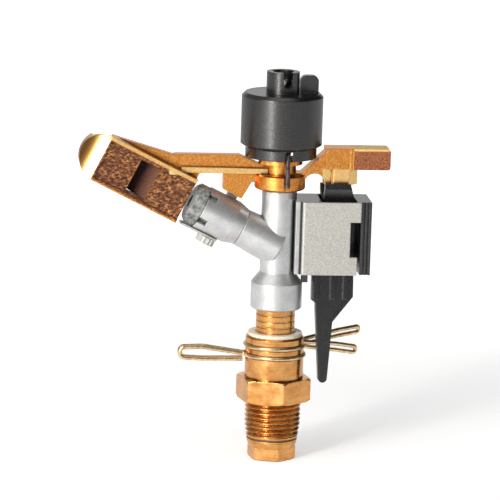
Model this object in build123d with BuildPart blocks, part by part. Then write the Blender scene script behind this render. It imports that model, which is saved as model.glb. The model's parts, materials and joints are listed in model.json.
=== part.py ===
"""Part-circle impulse sprinkler with a 1/2 inch male base. All sizes in millimetres.

+Z is the axis of the riser. The origin lies on that axis at the lower shoulder of
the large hexagon, where the sprinkler seats. The nozzle points to -X, the trip
mechanism stands at +X and the open side of the spoon looks to +Y.
"""

import os
from math import cos, radians, sin, sqrt, tan

from build123d import *

os.makedirs("parts", exist_ok=True)

# Clearances
running_gap = 0.06  # radial, a shaft turning in its bore
seat_gap = 0.15  # between flat faces of pieces that turn against each other
free_gap = 0.3  # between curved faces that must not touch

# Bearing nipple
thread_radius = 10.48
thread_length = 13.5
thread_tip_radius = 9.9
thread_taper_length = 4.5
nipple_hex_width = 25.0
nipple_hex_height = 8.7
hex_chamfer = 1.0
hex_turn = -18.8
nipple_radius = 11.0
nipple_top = 24.6
counterbore_radius = 9.0
counterbore_floor = 9.5

# Bearing tube
tube_radius = 6.2
tube_bore_radius = 4.7
tube_flange_radius = 9.5
tube_flange_tip_radius = 8.9
tube_flange_height = 2.2
tube_hex_width = 16.0
tube_hex_height = 4.8
tube_seat_depth = 11.0

# Washers and sleeve at the bearing
washer_thickness = 0.65
thrust_washer_radius = 9.7
dust_washer_radius = 10.1
dust_washer_thickness = 1.3
sleeve_radius = 7.3
sleeve_flange_radius = 8.6
sleeve_flange_height = 1.2
sleeve_groove_depth = 0.25
sleeve_groove_width = 0.7
sleeve_groove_pitch = 2.4
sleeve_groove_count = 3
bearing_spring_wire = 1.2
bearing_spring_pitch = 2.6
bearing_spring_radius = 7.65

# Stop clips
clip_wire_radius = 0.8
clip_groove_clearance = 0.1
left_clip_height = 17.4
right_clip_height = 21.0
clip_opening = 12.0
clip_leg_offset = 1.1
clip_bend = 1.4

# Body casting
casting_bottom = 35.0
collar_radius = 9.6
collar_top = 45.0
cone_top = 48.9
column_radius = 6.55
column_top = 79.8
waterway_top = 63.0
jet_height = 58.6
jet_rise = 26.5
branch_root_radius = 8.0
branch_radius = 7.1
branch_end = 15.7
spigot_radius = 5.9
spigot_length = 6.0
jet_bore_radius = 4.0
pad_inner = 5.6
pad_face = 7.2
pad_half_width = 8.0
pad_bottom = 49.3
pad_top = 76.8
anvil_start = 5.0
anvil_near = 20.8
anvil_far = 24.8
anvil_low = -2.6
anvil_middle = 3.0
anvil_high = 12.8
anvil_wall = 2.4
anvil_foot = 5.0

# Nozzle
union_radius = 8.25
union_flare_end = 20.0
union_end = 32.5
union_lip = 1.6
castellation_depth = 3.4
castellation_width = 2.6
castellation_count = 5
castellation_turn = -30.0
seal_thickness = 1.0
tip_radius = 7.85
tip_shank_radius = 6.3
tip_end = 37.4
tip_exit_radius = 2.4
tip_face_radius = 6.6
strip_thickness = 0.8
strip_width = 5.0
strip_end = 37.0
screw_position = 25.4
screw_head_radius = 3.6
screw_head_height = 2.6
screw_shank_radius = 1.2
screw_shank_length = 3.0
screw_rib_count = 14

# Arm
hub_bottom = 80.5
hub_ring_top = 86.2
hub_ring_radius = 9.5
hub_neck_radius = 5.9
hub_flange_bottom = 90.0
hub_top = 91.7
hub_flange_radius = 8.2
bar_bottom = 86.4
bar_top = 93.2
bar_half_width = 2.2
bead_height = 2.0
bead_proud = 1.5
spoon_start = 39.4
spoon_end = 83.0
spoon_crease = 75.3
spoon_half_width = 9.05
spoon_front = -7.2
spoon_back = 4.4
rim_thickness = 1.5
plate_recess = 0.9
plate_thickness = 1.7
window_start = 52.4
window_end = 61.6
window_low = -6.9
window_high = 6.1
vane_thickness = 1.3
lip_thickness = 1.6
striker_bottom = 76.6
striker_half_width = 2.0
boss_left = 16.6
boss_right = 26.7
boss_top = 96.4
boss_middle = 88.5
boss_bottom = 82.6
boss_half_depth = 4.5
hammer_left = 16.0
hammer_right = 28.9
hammer_chamfer = 3.6
weight_end = 40.8
weight_bottom = 88.5
weight_half_depth = 4.6

# Arm pivot and cap
pin_radius = 2.4
pin_foot = 66.0
pin_top = 121.5
bushing_radius = 3.9
pivot_washer_radius = 5.6
skirt_bottom = 92.6
skirt_radius = 13.3
drum_bottom = 96.9
drum_radius = 15.2
drum_top = 116.7
cap_wall = 1.5
cap_boss_radius = 4.4
cap_boss_bottom = 98.0
neck_radius = 6.15
neck_bore_radius = 4.0
neck_top = 124.6
neck_slot_width = 3.7
neck_slot_turn = -76.0
lug_start = 6.4
lug_length = 6.8
lug_width = 3.4
lug_height = 6.6
skirt_slit_width = 3.0
retainer_radius = 3.6
retainer_thickness = 0.9
arm_spring_wire = 1.7
arm_spring_radius = 7.4
arm_spring_pitch = 2.6
arm_spring_turns = 5
arm_spring_bottom = 96.5
spring_tail_x = 1.7
spring_tail_reach = 10.2
spring_tail_bottom = 82.2
tail_notch_width = 2.2

# Trip mechanism
housing_right = 34.0
housing_end_wall = 4.0
housing_inner_wall = 1.6
housing_bottom = 49.3
housing_top = 76.8
housing_front = -8.2
housing_back = 10.0
housing_back_wall = 1.4
end_rib_depth = 0.8
end_rib_count = 3
plate_left = 8.0
plate_right = 29.9
front_plate_thickness = 1.3
plate_notch_bottom = 56.1
plate_notch_top = 69.4
plate_notch_depth = 3.9
plate_foot_step = 1.1
cross_pin_radius = 1.3
cross_pin_head = 2.2
lever_pin_height = 52.7
rocker_pin_height = 71.2
lever_tilt = -6.0
rocker_tilt = -8.0
lever_left = 13.0
lever_right = 28.6
lever_cheek = 2.2
lever_half_thickness = 2.0
lever_rib_proud = 0.8
finger_left = 14.5
finger_right = 21.0
finger_tip = -45.5
rocker_left = 16.2
rocker_right = 27.6
rocker_top_right = 25.6
spring_peg_radius = 0.8
toggle_spring_wire = 0.8
toggle_spring_radius = 2.4
toggle_spring_pitch = 1.3
screw_offset = 6.3
housing_screw_radius = 0.9
housing_screw_head = 1.6

# Derived places
nipple_bore_radius = tube_radius + running_gap
thrust_top = -thread_length
tube_flange_top = thrust_top - 3 * washer_thickness - seat_gap
tube_flange_bottom = tube_flange_top - tube_flange_height
tube_bottom = tube_flange_bottom - tube_hex_height
tube_top = casting_bottom + tube_seat_depth
jet_cos = cos(radians(jet_rise))
jet_sin = sin(radians(jet_rise))
jet_origin = (0, 0, jet_height)
jet_axis = Axis(jet_origin, (-jet_cos, 0, jet_sin))
# Local x runs along the jet, local y square to it and upwards, the normal to +Y.
jet_plane = Plane(origin=jet_origin, x_dir=(-jet_cos, 0, jet_sin), z_dir=(0, 1, 0))
# Local x runs along the jet, local y to +Y, the normal square to the jet and downwards.
jet_side = Plane(origin=jet_origin, x_dir=(-jet_cos, 0, jet_sin), z_dir=(-jet_sin, 0, -jet_cos))


def finish(builder, label):
    """Name the finished piece and write it."""
    builder.part.label = label
    export_step(builder.part, f"parts/{label}.step")
    return builder.part


def jet_point(along, across):
    """World X and Z of a place given along the jet and square to it."""
    return (-along * jet_cos + across * jet_sin, jet_height + along * jet_sin + across * jet_cos)


def hex_radius(width):
    """Corner radius of a hexagon from its width across flats."""
    return width / 2 / cos(radians(30))


def washer(label, inner, outer, low, thickness):
    """Flat ring on the riser's axis."""
    with BuildPart() as ring:
        with BuildSketch(Plane.XY.offset(low)):
            Circle(outer)
            Circle(inner, mode=Mode.SUBTRACT)
        extrude(amount=thickness)
    return finish(ring, label)


def chamfered_hexagon(width, low, height, turn, chamfer_low, chamfer_high):
    """Hexagonal prism with turned corners."""
    corner = hex_radius(width)
    with BuildPart() as prism:
        with BuildSketch(Plane.XY.offset(low)):
            RegularPolygon(corner, 6, rotation=turn)
        extrude(amount=height)
        with BuildSketch(Plane.XZ):
            with BuildLine():
                Polyline(
                    (0, low),
                    (corner - chamfer_low, low),
                    (corner, low + chamfer_low * tan(radians(30))),
                    (corner, low + height - chamfer_high * tan(radians(30))),
                    (corner - chamfer_high, low + height),
                    (0, low + height),
                    close=True,
                )
            make_face()
        revolve(axis=Axis.Z, mode=Mode.INTERSECT)
    return prism.part


def coil(radius, wire, pitch, height, low, centre=(0, 0)):
    """Round wire wound up the Z direction."""
    with BuildPart() as winding:
        with BuildLine():
            turns = Helix(pitch, height, radius, center=(centre[0], centre[1], low))
        with BuildSketch(Plane(origin=turns @ 0, z_dir=turns % 0)):
            Circle(wire / 2)
        sweep(path=turns, is_frenet=True)
    return winding.part


# Bearing nipple: hexagon, taper-tipped thread blank, sleeve, counterbore and clip grooves
spanner_hexagon = chamfered_hexagon(nipple_hex_width, 0, nipple_hex_height, hex_turn, hex_chamfer, hex_chamfer)
with BuildPart() as bearing_nipple:
    add(spanner_hexagon)
    with BuildSketch(Plane.XZ):
        with BuildLine():
            Polyline(
                (0, thrust_top),
                (thread_tip_radius, thrust_top),
                (thread_radius, thrust_top + thread_taper_length),
                (thread_radius, 0),
                (nipple_radius, nipple_hex_height),
                (nipple_radius, nipple_top - 0.6),
                (nipple_radius - 0.6, nipple_top),
                (0, nipple_top),
                close=True,
            )
        make_face()
    revolve(axis=Axis.Z)
    with BuildSketch(Plane.XZ):
        with BuildLine():
            Polyline(
                (0, thrust_top),
                (nipple_bore_radius, thrust_top),
                (nipple_bore_radius, counterbore_floor),
                (counterbore_radius, counterbore_floor),
                (counterbore_radius, nipple_top),
                (0, nipple_top),
                close=True,
            )
        make_face()
    revolve(axis=Axis.Z, mode=Mode.SUBTRACT)
    with BuildSketch(Plane.XZ):
        with Locations((nipple_radius, left_clip_height), (nipple_radius, right_clip_height)):
            Circle(clip_wire_radius + clip_groove_clearance)
    revolve(axis=Axis.Z, mode=Mode.SUBTRACT)
finish(bearing_nipple, "bearing_nipple")

# Washers under the nipple: two stay with it, the lowest turns with the tube
hole_radius = tube_radius + seat_gap
washer("thrust_washer_upper", hole_radius, thrust_washer_radius, thrust_top - washer_thickness, washer_thickness)
washer(
    "thrust_seal_washer",
    hole_radius,
    thrust_washer_radius - 0.2,
    thrust_top - 2 * washer_thickness,
    washer_thickness,
)
washer("thrust_washer_lower", hole_radius, tube_flange_radius, tube_flange_top, washer_thickness)
washer("dust_washer", sleeve_radius + seat_gap, dust_washer_radius, nipple_top, dust_washer_thickness)

# Bearing tube: hexagon and flange below, plain tube up into the casting
end_hexagon = chamfered_hexagon(tube_hex_width, tube_bottom, tube_hex_height, hex_turn, 0.9, 0.05)
with BuildPart() as bearing_tube:
    add(end_hexagon)
    with BuildSketch(Plane.XZ):
        with BuildLine():
            Polyline(
                (0, tube_flange_bottom),
                (tube_flange_tip_radius, tube_flange_bottom),
                (tube_flange_radius, tube_flange_top),
                (tube_radius, tube_flange_top),
                (tube_radius, tube_top),
                (0, tube_top),
                close=True,
            )
        make_face()
    revolve(axis=Axis.Z)
    with BuildSketch(Plane.XY.offset(tube_bottom)):
        Circle(tube_bore_radius)
    extrude(amount=tube_top - tube_bottom, mode=Mode.SUBTRACT)
finish(bearing_tube, "bearing_tube")

# Pressure spring in the counterbore
sleeve_bottom = nipple_top - sleeve_flange_height - 2 * seat_gap
spring_turns = coil(
    bearing_spring_radius,
    bearing_spring_wire,
    bearing_spring_pitch,
    sleeve_bottom - counterbore_floor - bearing_spring_wire - 2 * seat_gap,
    counterbore_floor + bearing_spring_wire / 2 + seat_gap / 2,
)
with BuildPart() as pressure_spring:
    add(spring_turns)
finish(pressure_spring, "pressure_spring")

# Spring sleeve: flange in the counterbore, grooved barrel up to the casting
with BuildPart() as spring_sleeve:
    with BuildSketch(Plane.XZ):
        with BuildLine():
            Polyline(
                (tube_radius + running_gap, sleeve_bottom),
                (sleeve_flange_radius, sleeve_bottom),
                (sleeve_flange_radius, sleeve_bottom + sleeve_flange_height),
                (sleeve_radius, sleeve_bottom + sleeve_flange_height),
                (sleeve_radius, casting_bottom),
                (tube_radius + running_gap, casting_bottom),
                close=True,
            )
        make_face()
    revolve(axis=Axis.Z)
    for groove in range(sleeve_groove_count):
        groove_height = nipple_top + dust_washer_thickness + (groove + 0.8) * sleeve_groove_pitch
        with BuildSketch(Plane.XY.offset(groove_height)):
            Circle(sleeve_radius + 1)
            Circle(sleeve_radius - sleeve_groove_depth, mode=Mode.SUBTRACT)
        extrude(amount=sleeve_groove_width, mode=Mode.SUBTRACT)
finish(spring_sleeve, "spring_sleeve")


def stop_clip(label, height, heading, ears):
    """Wire ring in its groove, open towards the heading, with one hairpin ear at each end.

    An ear is its tip radius, the height of its tip, the half height of the loop at
    mid-length and at the tip, the height of its free end and its sideways splay.
    """
    ring_radius = nipple_radius + clip_groove_clearance / 2
    forward = Vector(cos(radians(heading)), sin(radians(heading)), 0)
    sideways = Vector(-sin(radians(heading)), cos(radians(heading)), 0)

    def place(out, side, level):
        return forward * out + sideways * side + Vector(0, 0, level)

    with BuildPart() as clip:
        ring_plane = Plane(origin=(0, 0, 0), x_dir=place(cos(radians(clip_opening)), sin(radians(clip_opening)), 0),
                           z_dir=place(sin(radians(clip_opening)), -cos(radians(clip_opening)), 0))
        with BuildSketch(ring_plane):
            with Locations((ring_radius, height)):
                Circle(clip_wire_radius)
        revolve(axis=Axis.Z, revolution_arc=360 - 2 * clip_opening)
        for side, ear in zip((1, -1), ears):
            tip_out, tip_level, belly, tip_half, end_level, splay = ear
            root = place(ring_radius * cos(radians(clip_opening)), side * ring_radius * sin(radians(clip_opening)), height)
            lead = (ring_radius * sin(radians(clip_opening)) - clip_leg_offset) / cos(radians(clip_opening))
            bend_out = ring_radius * cos(radians(clip_opening)) + lead * sin(radians(clip_opening))
            middle = ring_radius + 0.66 * (tip_out - ring_radius)
            middle_level = height + 0.66 * (tip_level - height)
            reach = clip_leg_offset + splay
            points = [
                root,
                place(bend_out, side * clip_leg_offset, height),
                place(middle, side * (clip_leg_offset + 0.66 * splay), middle_level + belly),
                place(tip_out, side * reach, tip_level + tip_half),
                place(tip_out, side * reach, tip_level - tip_half),
                place(middle, side * (clip_leg_offset + 0.66 * splay), middle_level - belly),
                place(nipple_radius + clip_wire_radius + free_gap, side * clip_leg_offset, end_level),
            ]
            with BuildLine():
                wire = FilletPolyline(*points, radius=[clip_bend, 12, 0.9 * tip_half, 0.9 * tip_half, 12])
            with BuildSketch(Plane(origin=wire @ 0, z_dir=wire % 0)):
                Circle(clip_wire_radius)
            sweep(path=wire, transition=Transition.ROUND)
    return finish(clip, label)


left_ear = (35.7, 17.6, 2.3, 1.9, 15.4, 0.0)
stop_clip("stop_clip_left", left_clip_height, 180, (left_ear, left_ear))
right_ear_up = (40.0, 22.6, 1.1, 1.1, 19.1, 0.6)
right_ear_down = (36.4, 15.6, 1.2, 1.2, 19.1, 0.6)
stop_clip("stop_clip_right", right_clip_height, 29, (right_ear_up, right_ear_down))

# Body casting: collar, column, jet branch, bracket pad and the anvil bridge behind the union
spigot_end = branch_end + spigot_length
anvil_front = striker_half_width + free_gap
anvil_back_face = union_radius + free_gap
with BuildPart() as body_casting:
    with BuildSketch(Plane.XZ):
        with BuildLine():
            Polyline(
                (0, casting_bottom),
                (collar_radius - 0.6, casting_bottom),
                (collar_radius, casting_bottom + 0.6),
                (collar_radius, collar_top),
                (column_radius, cone_top),
                (column_radius, column_top),
                (0, column_top),
                close=True,
            )
        make_face()
    revolve(axis=Axis.Z)
    with BuildSketch(jet_plane):
        with BuildLine():
            Polyline(
                (0, 0),
                (0, branch_root_radius),
                (branch_end, branch_radius),
                (branch_end, spigot_radius),
                (spigot_end, spigot_radius),
                (spigot_end, 0),
                close=True,
            )
        make_face()
    revolve(axis=jet_axis)
    with BuildSketch(Plane.XY.offset(pad_bottom)):
        with Locations(((pad_inner + pad_face) / 2, 0)):
            Rectangle(pad_face - pad_inner, 2 * pad_half_width)
    extrude(amount=pad_top - pad_bottom)
    with BuildSketch(jet_plane.offset(anvil_foot)):
        with Locations(((anvil_start + branch_end) / 2, (anvil_low + anvil_middle) / 2)):
            Rectangle(branch_end - anvil_start - 2, anvil_middle - anvil_low)
    extrude(amount=anvil_back_face + anvil_wall - anvil_foot)
    with BuildSketch(jet_plane.offset(anvil_back_face)):
        with BuildLine():
            Polyline(
                (anvil_start + 1, anvil_low),
                (anvil_far, anvil_low),
                (anvil_far, anvil_high),
                (anvil_near, anvil_high),
                (anvil_near, anvil_middle),
                (anvil_start + 1, anvil_middle),
                close=True,
            )
        make_face()
    extrude(amount=anvil_wall)
    with BuildSketch(jet_plane.offset(anvil_front)):
        with Locations(((anvil_near + anvil_far) / 2, (anvil_high + union_radius + 3 * free_gap) / 2)):
            Rectangle(anvil_far - anvil_near, anvil_high - union_radius - 3 * free_gap)
    extrude(amount=anvil_back_face + anvil_wall - anvil_front)
    with BuildSketch(Plane.XZ):
        with BuildLine():
            Polyline(
                (0, casting_bottom),
                (tube_radius + running_gap / 3, casting_bottom),
                (tube_radius + running_gap / 3, tube_top),
                (tube_bore_radius, tube_top),
                (tube_bore_radius, waterway_top - 2),
                (tube_bore_radius - 2, waterway_top),
                (0, waterway_top),
                close=True,
            )
        make_face()
    revolve(axis=Axis.Z, mode=Mode.SUBTRACT)
    with BuildSketch(jet_plane):
        with BuildLine():
            Polyline((0, 0), (0, jet_bore_radius), (spigot_end, jet_bore_radius), (spigot_end, 0), close=True)
        make_face()
    revolve(axis=jet_axis, mode=Mode.SUBTRACT)
    with BuildSketch(Plane.XY.offset(pin_foot)):
        Circle(pin_radius + running_gap / 3)
    extrude(amount=column_top - pin_foot, mode=Mode.SUBTRACT)
    with BuildSketch(Plane.YZ.offset(pad_inner)):
        with Locations((0, lever_pin_height), (0, rocker_pin_height)):
            Circle(cross_pin_radius + running_gap / 3)
    extrude(amount=pad_face - pad_inner, mode=Mode.SUBTRACT)
    with BuildSketch(Plane.YZ.offset(pad_inner)):
        with Locations((screw_offset, pad_bottom + 6), (screw_offset, pad_top - 6)):
            Circle(housing_screw_radius + running_gap / 3)
    extrude(amount=pad_face - pad_inner, mode=Mode.SUBTRACT)
finish(body_casting, "body_casting")

# Nozzle union: flared nut with a castellated rim
across_jet = (0, -1, 0)


def jet_section(along):
    """Plane square to the jet, local x towards the viewer, local y upwards."""
    place = jet_point(along, 0)
    return Plane(origin=(place[0], 0, place[1]), x_dir=across_jet, z_dir=(-jet_cos, 0, jet_sin))


socket_start = spigot_end + seal_thickness + seat_gap
with BuildPart() as nozzle_union:
    with BuildSketch(jet_plane):
        with BuildLine():
            Polyline(
                (branch_end + seat_gap, spigot_radius + running_gap / 3),
                (branch_end + seat_gap, branch_radius),
                (union_flare_end, union_radius),
                (union_end, union_radius),
                (union_end, tip_shank_radius + running_gap / 3),
                (socket_start, tip_shank_radius + running_gap / 3),
                (socket_start, spigot_radius + running_gap / 3),
                close=True,
            )
        make_face()
    revolve(axis=jet_axis)
    with BuildSketch(jet_section(union_end - castellation_depth)):
        with PolarLocations(union_radius, castellation_count, start_angle=castellation_turn):
            Rectangle(2 * (union_radius - tip_shank_radius) + 1, castellation_width)
    extrude(amount=castellation_depth, mode=Mode.SUBTRACT)
    with BuildSketch(jet_side.offset(tip_shank_radius - 1)):
        with Locations((screw_position, 0)):
            Circle(screw_shank_radius + running_gap / 3)
    extrude(amount=union_radius - tip_shank_radius + 2, mode=Mode.SUBTRACT)
finish(nozzle_union, "nozzle_union")

# Seal ring between the branch and the nozzle tip
with BuildPart() as nozzle_seal:
    with BuildSketch(jet_section(spigot_end)):
        Circle(spigot_radius - seat_gap)
        Circle(jet_bore_radius, mode=Mode.SUBTRACT)
    extrude(amount=seal_thickness)
finish(nozzle_seal, "nozzle_seal")

# Nozzle tip: shank in the union, snout with a tapering jet bore
snout_start = union_end + seat_gap
with BuildPart() as nozzle_tip:
    with BuildSketch(jet_plane):
        with BuildLine():
            Polyline(
                (socket_start, jet_bore_radius),
                (socket_start, tip_shank_radius),
                (snout_start, tip_shank_radius),
                (snout_start, tip_radius),
                (tip_end - 1.2, tip_radius),
                (tip_end, tip_face_radius),
                (tip_end, tip_exit_radius),
                (tip_end - 3, tip_exit_radius),
                close=True,
            )
        make_face()
    revolve(axis=jet_axis)
finish(nozzle_tip, "nozzle_tip")

# Deflector strip under the union and its ribbed thumb screw
strip_top = -union_radius
with BuildPart() as deflector_strip:
    with BuildSketch(jet_side.offset(-strip_top)):
        with Locations(((screw_position - screw_head_radius + strip_end) / 2, 0)):
            Rectangle(strip_end - screw_position + screw_head_radius, strip_width)
        with Locations((screw_position, 0)):
            Circle(screw_shank_radius + running_gap, mode=Mode.SUBTRACT)
    extrude(amount=strip_thickness)
finish(deflector_strip, "deflector_strip")

with BuildPart() as deflector_screw:
    with BuildSketch(jet_side.offset(-strip_top + strip_thickness)):
        with Locations((screw_position, 0)):
            Circle(screw_head_radius - 0.25)
            with PolarLocations(screw_head_radius - 0.25, screw_rib_count):
                Circle(0.35)
    extrude(amount=screw_head_height)
    with BuildSketch(jet_side.offset(-strip_top + strip_thickness)):
        with Locations((screw_position, 0)):
            Circle(screw_shank_radius)
    extrude(amount=-strip_thickness - screw_shank_length + 1.3)
finish(deflector_screw, "deflector_screw")

# Swing arm: hub, bar, spoon with window and vane, striker, strut, hammer boss and weight
rim_line = spoon_half_width - rim_thickness / 2
bar_meets_rim = (bar_bottom - jet_height - rim_line * jet_cos) / jet_sin
spoon_bend_radius = spoon_end - spoon_crease + 0.8
bend_centre = (spoon_end - spoon_bend_radius, spoon_front + spoon_bend_radius)
plate_front = spoon_front + plate_recess
straight_end = spoon_end - 0.9 * spoon_half_width

with BuildPart() as spoon_lip:
    with BuildSketch(jet_side):
        with Locations(bend_centre):
            Circle(spoon_bend_radius)
            Circle(spoon_bend_radius - lip_thickness, mode=Mode.SUBTRACT)
        with Locations((bend_centre[0] + spoon_bend_radius / 2, bend_centre[1] - spoon_bend_radius / 2)):
            Rectangle(spoon_bend_radius, spoon_bend_radius, mode=Mode.INTERSECT)
        with Locations((spoon_end - lip_thickness / 2, (bend_centre[1] + spoon_back) / 2)):
            Rectangle(lip_thickness, spoon_back - bend_centre[1])
    extrude(amount=spoon_half_width, both=True)
    with BuildSketch(jet_plane.offset(spoon_front - 1)):
        with Locations(((straight_end + spoon_start) / 2, 0)):
            Rectangle(straight_end - spoon_start, 2 * spoon_half_width)
        with Locations((straight_end, 0)):
            Ellipse(spoon_end - straight_end, spoon_half_width)
    extrude(amount=spoon_back - spoon_front + 2, mode=Mode.INTERSECT)

with BuildPart() as swing_arm:
    with BuildSketch(Plane.XZ):
        with BuildLine():
            Polyline(
                (0, hub_bottom),
                (hub_ring_radius - 0.5, hub_bottom),
                (hub_ring_radius, hub_bottom + 0.5),
                (hub_ring_radius, hub_ring_top - 0.5),
                (hub_ring_radius - 0.5, hub_ring_top),
                (hub_neck_radius, hub_ring_top),
                (hub_neck_radius, hub_flange_bottom),
                (hub_flange_radius, hub_flange_bottom),
                (hub_flange_radius, hub_top),
                (0, hub_top),
                close=True,
            )
        make_face()
    revolve(axis=Axis.Z)
    with BuildSketch(Plane.XZ):
        with BuildLine():
            Polyline(
                (-hub_neck_radius + 1, bar_bottom),
                jet_point(spoon_start, spoon_half_width + 2),
                jet_point(spoon_start, rim_line),
                jet_point(bar_meets_rim, rim_line),
                jet_point(72.8, rim_line),
                jet_point(72.8, spoon_half_width),
                jet_point(51, 12.8),
                (-40.0, bar_top),
                (-drum_radius - free_gap, bar_top),
                (-hub_flange_radius, hub_flange_bottom),
                (-hub_neck_radius + 1, hub_flange_bottom),
                close=True,
            )
        make_face()
    extrude(amount=bar_half_width, both=True)
    with BuildSketch(Plane.XZ):
        with BuildLine():
            Polyline(
                (-hub_neck_radius + 1, bar_bottom),
                jet_point(bar_meets_rim, rim_line),
                jet_point(bar_meets_rim + 1, rim_line + bead_height),
                (-hub_neck_radius + 1, bar_bottom + bead_height),
                close=True,
            )
        make_face()
    extrude(amount=bar_half_width + bead_proud)
    with BuildSketch(jet_plane.offset(plate_front)):
        with Locations(((spoon_start + bend_centre[0]) / 2, 0)):
            Rectangle(bend_centre[0] - spoon_start, 2 * spoon_half_width)
        with Locations(((window_start + window_end) / 2, (window_low + window_high) / 2)):
            Rectangle(window_end - window_start, window_high - window_low, mode=Mode.SUBTRACT)
    extrude(amount=plate_thickness)
    for side in (1, -1):
        with BuildSketch(jet_side.offset(-side * rim_line)):
            with BuildLine():
                Polyline(
                    (spoon_start, spoon_front),
                    (bend_centre[0], spoon_front),
                    (straight_end, spoon_front + 1.2),
                    (straight_end, spoon_back - 4),
                    (bend_centre[0] - 4, spoon_back),
                    (spoon_start, spoon_back),
                    close=True,
                )
            make_face()
        extrude(amount=rim_thickness / 2, both=True)
    with BuildSketch(jet_side.offset(-window_high)):
        with BuildLine():
            Polyline(
                (window_start - 0.6, plate_front + 0.2),
                (window_start + 0.9, plate_front),
                (window_end - 0.6, spoon_back - 2.6),
                (window_end - 1.4, spoon_back - 1.6),
                (window_start - 0.6, plate_front + plate_thickness),
                close=True,
            )
        make_face()
    extrude(amount=window_high - window_low)
    add(spoon_lip.part)
    with BuildSketch(Plane.XZ):
        with BuildLine():
            Polyline(
                (-21.4, bar_bottom + 1),
                (-21.4, striker_bottom + 3.6),
                (-14.4, striker_bottom),
                (-10.8, striker_bottom + 6.2),
                (-7, striker_bottom + 7.4),
                (-7, bar_bottom + 1),
                close=True,
            )
        make_face()
    extrude(amount=striker_half_width, both=True)
    with BuildSketch(Plane.XZ):
        with BuildLine():
            Polyline(
                (hammer_left + 0.4, boss_bottom),
                (boss_left + 2, boss_bottom),
                (boss_left + 2, boss_top - 1.4),
                (boss_left, boss_top - 1.4),
                (7.9, hub_ring_top + 0.6),
                (4.0, hub_ring_top + 0.6),
                (4.0, hub_bottom + 0.5),
                (9.0, hub_bottom + 0.9),
            )
            ThreePointArc((9.0, hub_bottom + 0.9), (13.2, 86.7), (hammer_left + 0.4, boss_bottom))
        make_face()
    extrude(amount=boss_half_depth - 0.7, both=True)
    with BuildSketch(Plane.XY.offset(boss_middle)):
        with Locations(((boss_left + boss_right) / 2, 0)):
            Rectangle(boss_right - boss_left, 2 * boss_half_depth)
    extrude(amount=boss_top - boss_middle)
    with BuildSketch(Plane.XY.offset(boss_bottom)) as hammer:
        with Locations(((hammer_left + hammer_right) / 2, 0)):
            Rectangle(hammer_right - hammer_left, 2 * boss_half_depth)
        chamfer(hammer.vertices(), hammer_chamfer)
    extrude(amount=boss_middle - boss_bottom + 0.5)
    with BuildSketch(Plane.XZ) as weight_face:
        with Locations(((boss_right + weight_end) / 2 - 0.5, (weight_bottom + boss_top) / 2)):
            Rectangle(weight_end - boss_right + 1, boss_top - weight_bottom)
        fillet(weight_face.vertices().group_by(Axis.X)[-1], 1.0)
    extrude(amount=weight_half_depth, both=True)
    with BuildSketch(Plane.XY.offset(hub_bottom)):
        Circle(bushing_radius + running_gap / 3)
    extrude(amount=hub_top - hub_bottom, mode=Mode.SUBTRACT)
    with BuildSketch(Plane.XY.offset(hub_bottom)):
        with Locations((spring_tail_x, -spring_tail_reach)):
            Rectangle(tail_notch_width, 2 * arm_spring_wire)
    extrude(amount=hub_ring_top - hub_bottom, mode=Mode.SUBTRACT)
finish(swing_arm, "swing_arm")

# Arm pivot: pin, washer under the hub, bushing in the hub and the retainer on top
with BuildPart() as pivot_pin:
    with BuildSketch(Plane.XZ):
        with BuildLine():
            Polyline((0, pin_foot), (pin_radius, pin_foot), (pin_radius, pin_top - 0.5),
                     (pin_radius - 0.5, pin_top), (0, pin_top), close=True)
        make_face()
    revolve(axis=Axis.Z)
finish(pivot_pin, "pivot_pin")
washer("pivot_washer", pin_radius + running_gap, pivot_washer_radius, column_top, hub_bottom - column_top - seat_gap)
washer("arm_bushing", pin_radius + running_gap, bushing_radius, hub_bottom, hub_top - hub_bottom)
neck_floor = drum_top + 1.0
washer("cap_retainer", pin_radius + running_gap / 3, retainer_radius, neck_floor + seat_gap, retainer_thickness)

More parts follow.
